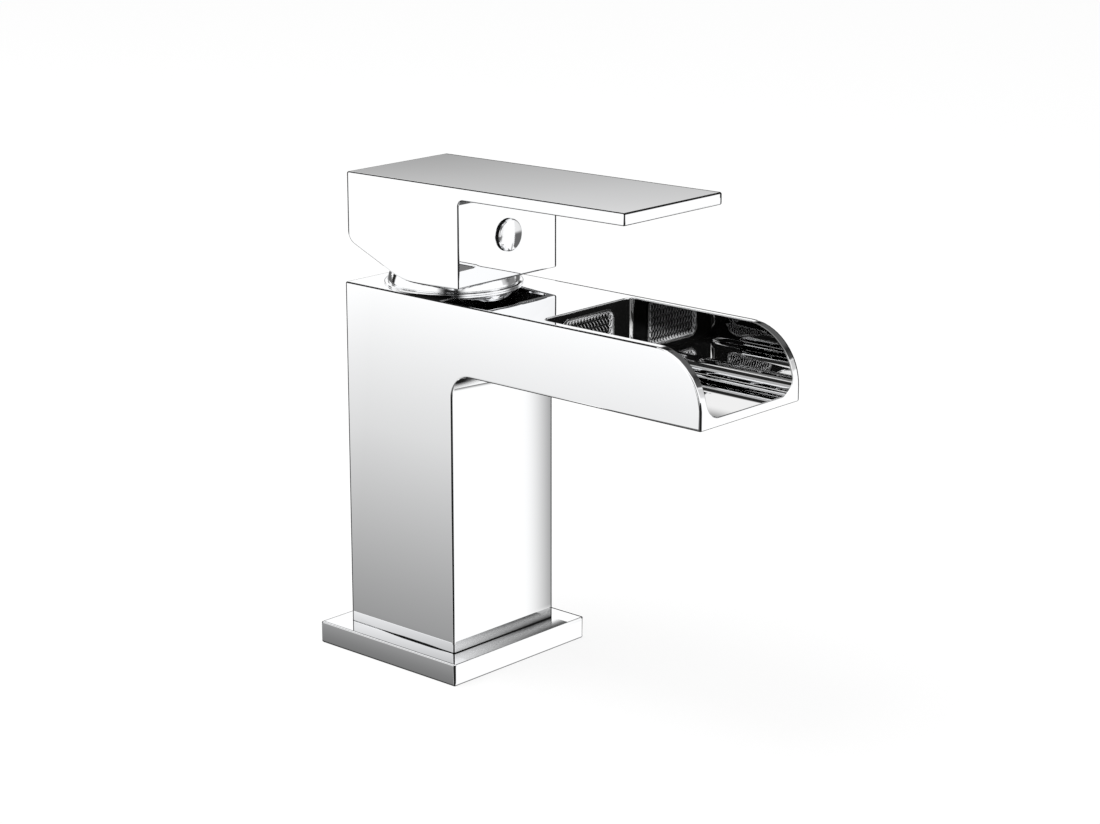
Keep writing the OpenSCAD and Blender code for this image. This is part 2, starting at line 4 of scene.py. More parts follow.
import bmesh
import bpy
import numpy as np
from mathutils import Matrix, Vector


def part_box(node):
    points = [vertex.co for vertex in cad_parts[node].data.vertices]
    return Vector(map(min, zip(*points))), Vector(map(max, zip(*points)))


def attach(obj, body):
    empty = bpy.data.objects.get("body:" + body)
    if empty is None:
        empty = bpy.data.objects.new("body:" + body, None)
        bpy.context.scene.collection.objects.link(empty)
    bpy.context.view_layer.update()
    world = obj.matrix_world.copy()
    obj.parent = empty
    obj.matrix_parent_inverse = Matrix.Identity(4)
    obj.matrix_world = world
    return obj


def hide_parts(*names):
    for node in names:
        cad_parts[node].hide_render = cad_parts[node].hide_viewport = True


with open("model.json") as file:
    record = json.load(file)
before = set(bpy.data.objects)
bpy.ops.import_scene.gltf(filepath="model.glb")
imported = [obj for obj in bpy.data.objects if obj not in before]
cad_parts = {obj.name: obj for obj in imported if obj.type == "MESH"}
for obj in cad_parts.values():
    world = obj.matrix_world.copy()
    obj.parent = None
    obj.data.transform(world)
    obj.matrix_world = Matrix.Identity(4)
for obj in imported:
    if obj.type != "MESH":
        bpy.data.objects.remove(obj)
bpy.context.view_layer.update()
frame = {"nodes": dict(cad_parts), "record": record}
record = frame["record"]
# The lever lifts and turns about this point
pivot = Vector(record["behaviour"]["joints"][0]["pos_m"])
millimetre = 0.001
print("stage 1: frame loaded,", len(frame["nodes"]), "nodes")


# Shader maths

class Wire:
    # Wraps one output of a shader node, so that + - * / on it add Math nodes
    def __init__(self, tree, socket=None):
        self.tree = tree
        self.socket = socket

    def node(self, kind, settings=None, inputs=None, output=0):
        # Adds a node: its settings first, then the values or wires of its sockets. An
        # output goes by its name or its number
        made = self.tree.nodes.new(kind)
        for name, value in (settings or {}).items():
            setattr(made, name, value)
        for name, value in (inputs or {}).items():
            if isinstance(value, Wire):
                self.tree.links.new(value.socket, made.inputs[name])
            else:
                made.inputs[name].default_value = value
        return Wire(self.tree, made.outputs[output] if len(made.outputs) else None)

    def maths(self, operation, *values):
        # Adds a Math node
        return self.node("ShaderNodeMath", {"operation": operation}, dict(enumerate(values)))

    def __add__(self, other):
        return self.maths("ADD", self, other)

    def __radd__(self, other):
        return self.maths("ADD", other, self)

    def __sub__(self, other):
        return self.maths("SUBTRACT", self, other)

    def __rsub__(self, other):
        return self.maths("SUBTRACT", other, self)

    def __mul__(self, other):
        return self.maths("MULTIPLY", self, other)

    def __rmul__(self, other):
        return self.maths("MULTIPLY", other, self)

    def outputs(self):
        # Every output of the node that this wire comes from
        return [Wire(self.tree, output) for output in self.socket.node.outputs]

    def between(self, low, high):
        # Rises smoothly from 0 at low to 1 at high
        return self.node("ShaderNodeMapRange", {"interpolation_type": "SMOOTHSTEP"},
                         {"Value": self, "From Min": low, "From Max": high})

    def ramp(self, low, high, start, end):
        # Goes straight from start at low to end at high, and stays there
        return self.node("ShaderNodeMapRange", {"interpolation_type": "LINEAR"},
                         {"Value": self, "From Min": low, "From Max": high,
                          "To Min": start, "To Max": end})


def newTree(owner):
    # Clears the owner's nodes and gives a wire to start from
    owner.use_nodes = True
    owner.node_tree.nodes.clear()
    return Wire(owner.node_tree)


def mixColour(factor, first, second):
    # The second colour where the factor is 1; Mix has its colours at 6, 7 and 2
    settings = {"data_type": "RGBA"}
    inputs = {"Factor": factor, 6: first, 7: second}
    return factor.node("ShaderNodeMix", settings, inputs, output=2)


def objectNoise(start, scale, detail=2.0):
    # Noise in the piece's own metres, from 0 to 1
    place = start.node("ShaderNodeTexCoord", output="Object")
    return start.node("ShaderNodeTexNoise", {},
                      {"Vector": place, "Scale": scale, "Detail": detail})


# Finishes, named as in the record; what a user would change is here

finishes = {
    "polished_chrome": dict(colour=(0.965, 0.97, 0.975), tint=(0.955, 0.96, 0.97), metal=1.0,
                            rough=0.008, roughSpread=0.012, grain=55, wave=0.00001,
                            waveScale=26),
    "mesh_steel": dict(colour=(0.9, 0.9, 0.91), tint=(0.75, 0.75, 0.76), metal=1.0,
                       rough=0.12, roughSpread=0.08, grain=900, wave=0.000004, waveScale=900),
    "bare_steel": dict(colour=(0.6, 0.6, 0.61), tint=(0.48, 0.48, 0.5), metal=1.0,
                       rough=0.24, roughSpread=0.12, grain=500, wave=0.000004, waveScale=700),
    "plain_brass": dict(colour=(0.78, 0.62, 0.33), tint=(0.66, 0.5, 0.25), metal=1.0,
                        rough=0.26, roughSpread=0.14, grain=320, wave=0.000006,
                        waveScale=600),
    "white_plastic": dict(colour=(0.84, 0.84, 0.82), tint=(0.78, 0.78, 0.75), metal=0.0,
                          rough=0.42, roughSpread=0.14, grain=420, wave=0.00001,
                          waveScale=800),
    "carrier_plastic": dict(colour=(0.42, 0.44, 0.47), tint=(0.34, 0.36, 0.39), metal=0.0,
                            rough=0.45, roughSpread=0.15, grain=420, wave=0.00001,
                            waveScale=800),
    "black_plastic": dict(colour=(0.012, 0.012, 0.013), tint=(0.02, 0.02, 0.021), metal=0.0,
                          rough=0.5, roughSpread=0.15, grain=420, wave=0.00001,
                          waveScale=800),
    "ceramic": dict(colour=(0.88, 0.87, 0.83), tint=(0.82, 0.8, 0.76), metal=0.0,
                    rough=0.16, roughSpread=0.1, grain=600, wave=0.000003, waveScale=900),
    "black_rubber": dict(colour=(0.035, 0.035, 0.036), tint=(0.06, 0.06, 0.06), metal=0.0,
                         rough=0.55, roughSpread=0.2, grain=700, wave=0.00001,
                         waveScale=1100),
}

# The noise levels between which tone and roughness change, and how much coarser tone drifts
patches = dict(tone=(0.35, 0.65), rough=(0.4, 0.75), coarser=6)


def inBox(start, axes, low, high):
    # 1 where a place lies between two corners, else 0
    inside = 1.0
    for axis, least, most in zip(axes, low, high):
        inside = start.maths("GREATER_THAN", axis, least) * inside
        inside = start.maths("LESS_THAN", axis, most) * inside
    return inside


def finishAndShadeMaterial(name, look, zones=()):
    # Colour drifts between two tones, roughness and surface follow two sizes of noise. A zone
    # is a mask over x, y, z in millimetres with its tone and roughness, and with metal=0 where
    # nothing is mirrored. Zones paint shade and dark reflections into the colour
    material = bpy.data.materials.new(name)
    start = newTree(material)
    grain = objectNoise(start, look["grain"])
    drift = objectNoise(start, look["grain"] / patches["coarser"], detail=1.0)
    wave = objectNoise(start, look["waveScale"], detail=0.0)
    colour = mixColour(drift.between(*patches["tone"]), (*look["colour"], 1),
                       (*look["tint"], 1))
    roughness = look["rough"] + look["roughSpread"] * grain.between(*patches["rough"])
    metal = look["metal"]
    if zones:
        place = start.node("ShaderNodeTexCoord", output="Object")
        placed = start.node("ShaderNodeVectorMath", {"operation": "SCALE"},
                            {"Vector": place, "Scale": 1 / millimetre})
        axes = start.node("ShaderNodeSeparateXYZ", {}, {"Vector": placed}).outputs()
    for zone in zones:
        mask = zone["mask"](start, axes)
        colour = mixColour(mask, colour, (zone["tone"], zone["tone"], zone["tone"], 1))
        roughness = roughness + (zone["rough"] - roughness) * mask
        if "metal" in zone:
            metal = metal + (zone["metal"] - metal) * mask
    normal = start.node("ShaderNodeBump", {}, {"Strength": 1.0, "Distance": look["wave"],
                                               "Height": wave})
    surface = start.node("ShaderNodeBsdfPrincipled", {}, {
        "Base Color": colour, "Roughness": roughness, "Normal": normal,
        "Metallic": metal, "Specular IOR Level": 0.5 - 0.5 * look["metal"]})
    start.node("ShaderNodeOutputMaterial", {}, {"Surface": surface})
    return material


def boxes(*corners):
    # A mask that is 1 in any of several boxes, each given by two corners
    def mask(start, axes):
        inside = 0.0
        for low, high in corners:
            inside = start.maths("MAXIMUM", inBox(start, axes, low, high), inside)
        return inside
    return mask


def shade(box, rises=(), falls=()):
    # A mask that is 1 in a box, times smooth rises and falls, each along axis 0, 1 or 2
    # between two places
    def mask(start, axes):
        inside = inBox(start, axes, *box)
        for axis, low, high in rises:
            inside = inside * axes[axis].between(low, high)
        for axis, low, high in falls:
            inside = inside * (1 - axes[axis].between(low, high))
        return inside
    return mask


# Painted shades in the finish, in millimetres. The sliver is a painted dark reflection on the
# body's top beside the ring, and the lens is painted shade in the fillet under the spout's
# root

sliverShade = shade(((-4, -20.7, 109.3), (19, -15, 109.5)), rises=[(0, -3, 5)], falls=[(0, 16, 18)])
lens = shade(((21.05, -20.9, 80), (31, 3, 89.3)), rises=[(0, 21.2, 22.8)],
             falls=[(0, 24.5, 28), (1, -19, 0)])
trough = dict(box=((53, -18.6, 94), (110.2, 18.6, 109.2)), floorHalf=16.5, clear=100, dark=104)
contactShade = dict(column=20.5, top=9.5, plateTop=6.5, swell=0.4, swellRise=(-14, 2),
               swellFall=(10, 21), swellLoss=0.6, line=6.8, fade=(6.6, 9.2),
               leftShare=0.3, deepen=(-20, 14))
plateTop = dict(box=((21, -22, 6.4), (27.6, 20.8, 6.6)), edge=(22.5, 27.2), leftShare=0.25,
                rightGain=0.6, deepen=(-22, 16))
pocket = dict(ball=20.2, box=((0, -19.4, 113.7), (22.6, 19.4, 120.7)))


def troughSideShade(start, axes):
    # The trough's two side walls above their fillets, up to the curve of the tip: painted
    # shade
    height = axes[2].between(trough["clear"], trough["dark"])
    aside = start.maths("GREATER_THAN", start.maths("ABSOLUTE", axes[1]), trough["floorHalf"])
    return inBox(start, axes, *trough["box"]) * height * aside


def footShade(start, axes):
    # Painted contact shadow between column and plate: a line that swells along the left side,
    # and a painted shade over the front that deepens to the right
    x, y, z = axes
    swell = x.between(*contactShade["swellRise"]) * (
        1 - contactShade["swellLoss"] * x.between(*contactShade["swellFall"]))
    left = start.maths("LESS_THAN", y, -contactShade["column"]) * start.maths(
        "LESS_THAN", z, contactShade["plateTop"] + contactShade["swell"] * swell)
    depth = z.ramp(*contactShade["fade"], 1.0, 0.0) * (
        contactShade["leftShare"] + (1 - contactShade["leftShare"]) * y.between(*contactShade["deepen"]))
    line = start.maths("LESS_THAN", z, contactShade["line"])
    front = start.maths("GREATER_THAN", x, contactShade["column"]) * start.maths(
        "MAXIMUM", depth, line)
    return start.maths("LESS_THAN", z, contactShade["top"]) * start.maths("MAXIMUM", left, front)


def plateShade(start, axes):
    # The plate's top in front of the column is painted darker towards its edge and to the
    # right, as shade
    x, y, z = axes
    depth = plateTop["leftShare"] + plateTop["rightGain"] * y.between(*plateTop["deepen"])
    return inBox(start, axes, *plateTop["box"]) * (x.between(*plateTop["edge"]) * depth)


def hollowShade(start, axes):
    # Inside the ball round the pivot or the pocket in front of it, painted black as shade
    x, y, z = (axis - place / millimetre for axis, place in zip(axes, pivot))
    ball = start.maths("LESS_THAN", x * x + y * y + z * z, pocket["ball"] ** 2)
    return start.maths("MAXIMUM", ball, inBox(start, axes, *pocket["box"]))


def shadedWeftWires(start, axes):
    # The wires that slope the other way, from the piece's own attribute, painted black as
    # shade
    return start.node("ShaderNodeAttribute", {"attribute_name": "weft"}, output="Fac")


# What each piece's chrome has in its zones, later ones over earlier ones, in millimetres:
# painted shade and painted dark reflections. Thin dark lines are painted along the edges that
# the photograph outlines, as dark reflections
darkEdgeReflection = dict(tone=0.015, rough=0.5, metal=0)
castings = {
    "casting": (
        # Painted shade in the trough, darker on its side walls and black on the wall round the
        # mesh
        dict(mask=boxes(((52, -18.6, 90), (109.7, 18.6, 109))),  # the trough
             tone=0.9, rough=0.01),
        dict(mask=troughSideShade, tone=0.2, rough=0.01),
        dict(mask=boxes(((51, -18.6, 90), (53.2, 18.6, 109))),  # round the mesh
             tone=0.015, rough=0.3, metal=0),
        # Painted contact shadow at the column's foot, and painted dark reflections on the top
        # and under the spout
        dict(mask=footShade, tone=0.02, rough=0.3, metal=0),
        dict(mask=sliverShade, tone=0.01, rough=0.5, metal=0),
        dict(mask=lens, tone=0.015, rough=0.3, metal=0),
        # Painted dark reflections along the edges
        dict(mask=boxes(((23, 19.8, 109.2), (96, 20.97, 109.5))),  # spout's top, right
             tone=0.05, rough=0.5, metal=0),
        dict(mask=boxes(
            ((-20.9, 20.3, 6.5), (110.1, 20.97, 109)),  # borders of the right side
            ((-20.9, -20.97, 108.9), (95, -20.65, 109.5)),  # top, left
            ((-20.9, 20.1, 109.2), (23, 20.97, 109.5)),  # top, right
            ((-20.97, -21.1, 108.8), (-20.4, 21.1, 109.5)),  # top, back
            ((24, -20.97, 89.1), (110.1, -20.5, 89.7)),  # under the spout, left
            ((109.5, -21.1, 89.1), (109.98, 21.1, 89.5)),  # under the spout's tip
            ((20.5, -20.97, 6.5), (20.97, -20.5, 87)),  # column, front left
            ((109.5, -20.97, 89), (109.97, -20.5, 97)),  # spout's tip, left
            ((-20.97, -21.1, 6.5), (-20.35, -20.45, 109.3))),  # column, back left
            **darkEdgeReflection)),
    "basePlate": (
        # Painted shade on the plate's top, and painted dark reflections along its edges
        dict(mask=plateShade, tone=0.02, rough=0.3, metal=0),
        dict(mask=boxes(
            ((-27.6, 26.95, -0.1), (27.6, 27.47, 6)),  # borders of the right side
            ((-27.6, 26.7, 6), (27.6, 27.47, 6.6)),  # top, right
            ((-27.47, -27.6, 6.1), (-26.8, 27.6, 6.6)),  # top, back
            ((27, -27.47, -0.1), (27.47, -27, 6.3)),  # front left corner
            ((-27.47, -27.47, -0.1), (-27, -27, 6.3))),  # back left corner
            **darkEdgeReflection)),
    # The button's side is painted black as shade
    "button": (dict(mask=boxes(((18, -6, 120), (24, 6, 132))),  # its side
                    tone=0.02, rough=0.3, metal=0),),
    "outletRim": (dict(mask=boxes(((53.25, -11, 93), (53.4, 11, 108))),  # its front
                       tone=0.15, rough=0.1),),
    "handleBlock": (
        # The hollow is painted black as shade, and dark reflections are painted along the
        # edges
        dict(mask=hollowShade, tone=0.015, rough=0.4),
        dict(mask=boxes(
            ((-20.5, 19.4, 112), (83.3, 20.17, 142.8)),  # borders of the right side
            ((-20.5, -20.17, 141), (83.3, -19.9, 142.8)),  # top, left
            ((22.95, -20.3, 112.6), (23.37, 20.3, 113.1)),  # under the block's front
            ((-4, -20.3, 112.6), (23.37, -19.8, 113.15)),  # under its left side
            ((-20.4, -20.17, 112.6), (-6, -19.72, 128)),  # its sloping edge
            ((-20.5, 19.2, 141.2), (83.3, 20.17, 142.8)),  # top, right
            ((-20.37, -20.3, 140.9), (-19.6, 20.3, 142)),  # top, back
            ((24, -20.17, 137), (83.3, -19.7, 139.6)),  # under the lever, left
            ((82.7, -20.3, 138.9), (83.17, 20.3, 139.5)),  # under the lever's end
            ((23.05, -20.17, 112.9), (23.37, -19.85, 137.6)),  # block's front left corner
            ((82.85, -20.17, 139), (83.17, -19.85, 142.6)),  # lever's end, left
            ((82.85, -20.3, 142.2), (83.17, 20.3, 142.8)),  # lever's end, top
            ((-20.37, -20.3, 114), (-19.75, -19.8, 141.2))),  # back left corner
            **darkEdgeReflection)),
}
# The weft wires are painted black as shade, so that only the other family shows bright
meshZones = (dict(mask=shadedWeftWires, tone=0.01, rough=0.5, metal=0),)

materials = {name: finishAndShadeMaterial(name, look, meshZones if name == "mesh_steel" else ())
             for name, look in finishes.items()}
castingFinishAndShade = {name: finishAndShadeMaterial(name, finishes["polished_chrome"], zones)
                 for name, zones in castings.items()}
for part in record["subparts"]:
    shown = frame["nodes"][part["node"]]
    shown.data.materials.clear()
    shown.data.materials.append(materials[part["material_slot"]])
print("stage 2: finishes made,", len(materials))


# Surfaces

samePoint = 1e-7  # points nearer to each other than this are one


def gridFaces(rows, columns, closedRows, closedColumns):
    # Quads between neighbouring points of a grid; a closed direction joins its last to
    # its first
    i = np.arange(rows if closedRows else rows - 1)[:, None]
    j = np.arange(columns if closedColumns else columns - 1)[None, :]
    below, beside = (i + 1) % rows, (j + 1) % columns
    corners = (i * columns + j, i * columns + beside, below * columns + beside,
               below * columns + j)
    return np.stack([np.broadcast_to(c, np.broadcast(i, j).shape) for c in corners],
                    axis=-1).reshape(-1, 4)


def roundedOutline(corners, radii, steps=6):
    # Every corner turns into an arc of its radius that touches both of its sides
    p = np.array(corners, float)
    r = np.array(radii, float)[:, None]
    back = np.roll(p, 1, axis=0) - p
    on = np.roll(p, -1, axis=0) - p
    back /= np.linalg.norm(back, axis=1, keepdims=True)
    on /= np.linalg.norm(on, axis=1, keepdims=True)
    half = np.arccos(np.clip((back * on).sum(1, keepdims=True), -1, 1)) / 2
    middle = (back + on) / np.linalg.norm(back + on, axis=1, keepdims=True)
    centre = p + middle * r / np.sin(half)
    side = np.stack([middle[:, 1], -middle[:, 0]], axis=1)
    side *= np.sign((side * back).sum(1, keepdims=True))
    swing = (np.pi / 2 - half)[:, :, None] * np.linspace(1, -1, steps)[None, :, None]
    arc = centre[:, None, :] + r[:, :, None] * (
        np.sin(swing) * side[:, None, :] - np.cos(swing) * middle[:, None, :])
    flat = arc.reshape(-1, 2)
    kept = np.linalg.norm(flat - np.roll(flat, 1, axis=0), axis=1) > samePoint
    return flat[kept]


def spin(profile, turns):
    # A profile of radius and height goes once round the upright axis: x and y are the
    # radius times the cosine and the sine of the turn
    angle = np.linspace(0, 2 * np.pi, turns, endpoint=False)[:, None]
    radius, height = profile[None, :, 0], profile[None, :, 1]
    points = np.stack([radius * np.cos(angle), radius * np.sin(angle),
                       height + 0 * angle], axis=-1)
    return points.reshape(-1, 3)


def carryTube(path, radius, sides):
    # A ring of the given radius at every point of each path, square to the path's direction;
    # both ends close to a point
    ahead = np.gradient(path, axis=1)
    ahead /= np.linalg.norm(ahead, axis=2, keepdims=True)
    out = np.broadcast_to(np.array([1.0, 0, 0]), ahead.shape)
    across = np.cross(ahead, out)
    across /= np.linalg.norm(across, axis=2, keepdims=True)
    out = np.cross(across, ahead)
    turn = np.linspace(0, 2 * np.pi, sides, endpoint=False)[None, None, :, None]
    spokes = np.cos(turn) * out[:, :, None, :] + np.sin(turn) * across[:, :, None, :]
    rings = path[:, :, None, :] + radius * spokes
    ends = np.broadcast_to(path[:, [0, -1], None, :], (len(path), 2, sides, 3))
    return np.concatenate([ends[:, :1], rings, ends[:, 1:]], axis=1)


def meshPiece(name, points, faces, finish, body, replaced=()):
    # Puts worked-out points and faces into a mesh of their own
    mesh = bpy.data.meshes.new(name)
    mesh.from_pydata(np.asarray(points).tolist(), [], np.asarray(faces).tolist())
    mesh.validate()
    return placePiece(name, mesh, finish, body, replaced)


def placePiece(name, mesh, finish, body, replaced):
    # Puts a finished mesh in the scene on its body, with its finish and the node it stands for
    shell = bmesh.new()
    shell.from_mesh(mesh)
    bmesh.ops.remove_doubles(shell, verts=shell.verts, dist=samePoint)
    bmesh.ops.recalc_face_normals(shell, faces=shell.faces)
    shell.to_mesh(mesh)
    shell.free()
    if "custom_normal" in mesh.attributes:
        mesh.attributes.remove(mesh.attributes["custom_normal"])
    mesh.shade_smooth()
    mesh.materials.clear()
    mesh.materials.append(materials[finish])
    piece = bpy.data.objects.new(name, mesh)
    bpy.context.scene.collection.objects.link(piece)
    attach(piece, body)
    if replaced:
        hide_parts(*replaced)
    return piece


def edgeAngles(mesh):
    # The angle between the two faces of every edge, in degrees, from the faces' normals
    loopEdges = np.empty(len(mesh.loops), int)
    mesh.loops.foreach_get("edge_index", loopEdges)
    sizes = np.empty(len(mesh.polygons), int)
    mesh.polygons.foreach_get("loop_total", sizes)
    normals = np.empty(len(mesh.polygons) * 3)
    mesh.polygons.foreach_get("normal", normals)
    normals = normals.reshape(-1, 3)
    loopFaces = np.repeat(np.arange(len(sizes)), sizes)
    first = np.zeros(len(mesh.edges), int)
    second = np.zeros(len(mesh.edges), int)
    first[loopEdges] = loopFaces
    second[loopEdges[::-1]] = loopFaces[::-1]
    cosine = (normals[first] * normals[second]).sum(1)
    return np.degrees(np.arccos(np.clip(cosine, -1, 1)))


def softEdges(piece, edge):
    # Polishing leaves no knife edges: each sharp edge gets a share of the piece's rounding,
    # which is flatter near the faces and tighter in its middle
    mesh = piece.data
    ends = np.empty(len(mesh.edges) * 2, int)
    mesh.edges.foreach_get("vertices", ends)
    places = np.empty(len(mesh.vertices) * 3)
    mesh.vertices.foreach_get("co", places)
    middles = places.reshape(-1, 3)[ends.reshape(-1, 2)].mean(1) / millimetre
    shares = np.where(edgeAngles(mesh) > edge["sharpest"], edge["shares"](*middles.T), 0.0)
    weights = mesh.attributes.new("bevel_weight_edge", "FLOAT", "EDGE")
    weights.data.foreach_set("value", shares.astype(np.float32))
    bevel = piece.modifiers.new("softEdges", "BEVEL")
    bevel.limit_method = "WEIGHT"
    bevel.width = edge["width"] * millimetre
    bevel.segments = edge["segments"]
    bevel.profile = edge["profile"]
    bevel.use_clamp_overlap = False
    bevel.harden_normals = True
    bevel.miter_outer = "MITER_ARC"
    level = piece.modifiers.new("levelFaces", "WEIGHTED_NORMAL")
    level.mode = "FACE_AREA"
    level.weight = 100


joining = dict(distance=1e-6, angle=0.4)  # in metres and degrees


def roundedCopy(node, edge):
    # The node's own surface, joined into whole flat faces, with its edges rounded
    mesh = frame["nodes"][node].data.copy()
    shell = bmesh.new()
    shell.from_mesh(mesh)
    bmesh.ops.remove_doubles(shell, verts=shell.verts, dist=joining["distance"])
    bmesh.ops.dissolve_limit(shell, angle_limit=math.radians(joining["angle"]),
                             verts=shell.verts, edges=shell.edges, delimit={"NORMAL"})
    shell.to_mesh(mesh)
    shell.free()
    piece = placePiece(edge["name"], mesh, "polished_chrome", edge["body"], (node,))
    mesh.materials[0] = castingFinishAndShade.get(edge["name"], materials["polished_chrome"])
    softEdges(piece, edge)


# Casting, base plate, handle and outlet rim, in millimetres. A width is what the rounding
# takes from each face; shares give the part of it that an edge at x, y, z gets, and places
# tell the edges apart

edgeShares = dict(foot=0.3, rim=0.4, outside=0.75, plate=0.7, handle=1.0)
edgePlaces = dict(near=0.1, columnHalf=21, tip=110, troughStart=50, troughHalf=18.5,
                  troughFloor=91.5, footTop=8.3, plateHalf=27.5, hollowHalf=18.8,
                  hollowTop=129, hollowFront=22.4, holeEnd=24, holeHalf=6,
                  holeHeights=(119, 130))


def castingShares(x, y, z):
    # The outside lies on the planes of its sides, the rim round the trough
    at = edgePlaces
    side = at["columnHalf"] - at["near"]
    outside = (abs(y) > side) | (x < -side) | (x > at["tip"] - at["near"]) | (
        abs(x - at["columnHalf"]) < at["near"])
    rim = (x > at["troughStart"]) & (abs(y) < at["troughHalf"]) & (z > at["troughFloor"])
    foot = z < at["footTop"]
    return np.select([foot, rim, outside],
                     [edgeShares["foot"], edgeShares["rim"], edgeShares["outside"]],
                     0.0)


def plateShares(x, y, z):
    # Only the plate's outer sides
    side = edgePlaces["plateHalf"] - edgePlaces["near"]
    return np.where(np.maximum(abs(x), abs(y)) > side, edgeShares["plate"], 0.0)


def handleShares(x, y, z):
    # Neither the hollow over the ring nor the button's hole is rounded
    at = edgePlaces
    low, high = at["holeHeights"]
    hollow = (abs(y) < at["hollowHalf"]) & (z < at["hollowTop"]) & (x < at["hollowFront"])
    hole = (x > at["hollowFront"]) & (x < at["holeEnd"]) & (abs(y) < at["holeHalf"]) & (
        z > low) & (z < high)
    return np.select([hollow | hole], [0.0], edgeShares["handle"])


edges = {
    "faucet_body": dict(name="casting", body="faucet", width=1.0, profile=0.66, segments=8,
                        sharpest=35, shares=castingShares),
    "base_plate": dict(name="basePlate", body="faucet", width=1.0, profile=0.66, segments=8,
                       sharpest=35, shares=plateShares),
    "handle": dict(name="handleBlock", body="lever", width=0.52, profile=0.6, segments=8,
                   sharpest=35, shares=handleShares),
    "outlet_frame": dict(name="outletRim", body="faucet", width=0.15, profile=0.5, segments=3,
                         sharpest=35, shares=lambda x, y, z: np.ones_like(x)),
}

for node, edge in edges.items():
    roundedCopy(node, edge)
    print("stage 3:", edge["name"], "made")


# Dome ring, in millimetres above the body's top

domeRing = dict(radius=19.5, lipRadius=19.9, lipHeight=0.7, cove=0.35, boreRadius=11.3,
                roof=1.7, skirt=3.4, turns=160, rows=9, footRound=0.1, lipRound=0.3,
                coveRound=0.12, bandRound=0.02, topRound=0.4, boreRound=0.3,
                innerRound=0.1)


def makeDomeRing(size):
    # The band is part of a ball round the pivot: its radius is the root of the ball's
    # radius squared less the height over the pivot squared
    low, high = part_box("dome_ring")
    centreX = (low.x + high.x) / 2 / millimetre
    base, top = low.z / millimetre, high.z / millimetre
    pivotZ = pivot.z / millimetre
    heights = np.linspace(base + size["lipHeight"] + size["cove"], top, size["rows"])
    band = np.stack([np.sqrt(size["radius"] ** 2 - (heights - pivotZ) ** 2), heights], 1)
    corners = [(size["lipRadius"], base), (size["lipRadius"], base + size["lipHeight"]),
               (band[0, 0] - size["cove"], base + size["lipHeight"]), *band.tolist(),
               (size["boreRadius"], top), (size["boreRadius"], top - size["roof"]),
               (size["radius"] - size["skirt"], top - size["roof"]),
               (size["radius"] - size["skirt"], base)]
    radii = [size["footRound"], size["lipRound"], size["coveRound"],
             *[size["bandRound"]] * (len(band) - 1), size["topRound"], size["boreRound"],
             *[size["innerRound"]] * 3]
    profile = roundedOutline(corners, radii)
    points = spin(profile, size["turns"]) + [centreX, 0, 0]
    faces = gridFaces(size["turns"], len(profile), True, True)
    return meshPiece("domeRing", points * millimetre, faces, "polished_chrome", "faucet",
                     ("dome_ring",))


makeDomeRing(domeRing)
print("stage 4: dome ring made")


# Indicator button, in millimetres

button = dict(rimRound=0.5, capRise=0.4, capRound=0.02, edgeRound=0.1, shankRadius=3.0,
              shankLength=4.5, turns=96, rows=12)


def makeButton(size):
    # The cap is an arc: its radius is the rim's radius squared plus the rise squared, over
    # twice the rise
    low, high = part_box("indicator_button")
    radius = (high.y - low.y) / 2 / millimetre
    middleZ = (low.z + high.z) / 2 / millimetre
    face = high.x / millimetre - low.x / millimetre - size["shankLength"]
    rim = face - size["capRise"]
    capRadius = (radius ** 2 + size["capRise"] ** 2) / (2 * size["capRise"])
    across = np.linspace(0, radius, size["rows"])[:-1]
    cap = np.stack([across, face - capRadius + np.sqrt(capRadius ** 2 - across ** 2)], 1)
    corners = [*cap.tolist(), (radius, rim), (radius, 0), (size["shankRadius"], 0),
               (size["shankRadius"], -size["shankLength"]), (0, -size["shankLength"])]
    radii = [0, *[size["capRound"]] * (len(cap) - 1), size["rimRound"],
             *[size["edgeRound"]] * 3, 0]
    profile = roundedOutline(corners, radii)
    turned = spin(profile, size["turns"])
    points = np.stack([turned[:, 2] + low.x / millimetre + size["shankLength"],
                       turned[:, 0], turned[:, 1] + middleZ], axis=1)
    faces = gridFaces(size["turns"], len(profile), True, True)
    piece = meshPiece("indicatorButton", points * millimetre, faces, "polished_chrome",
                      "lever", ("indicator_button",))
    piece.data.materials[0] = castingFinishAndShade["button"]
    return piece


makeButton(button)
print("stage 5: button made")


# Woven mesh in the outlet, in millimetres and degrees

weave = dict(pitch=1.07, slope=57, wire=0.1, inset=0.15, corner=1.4, samples=97, sides=6)


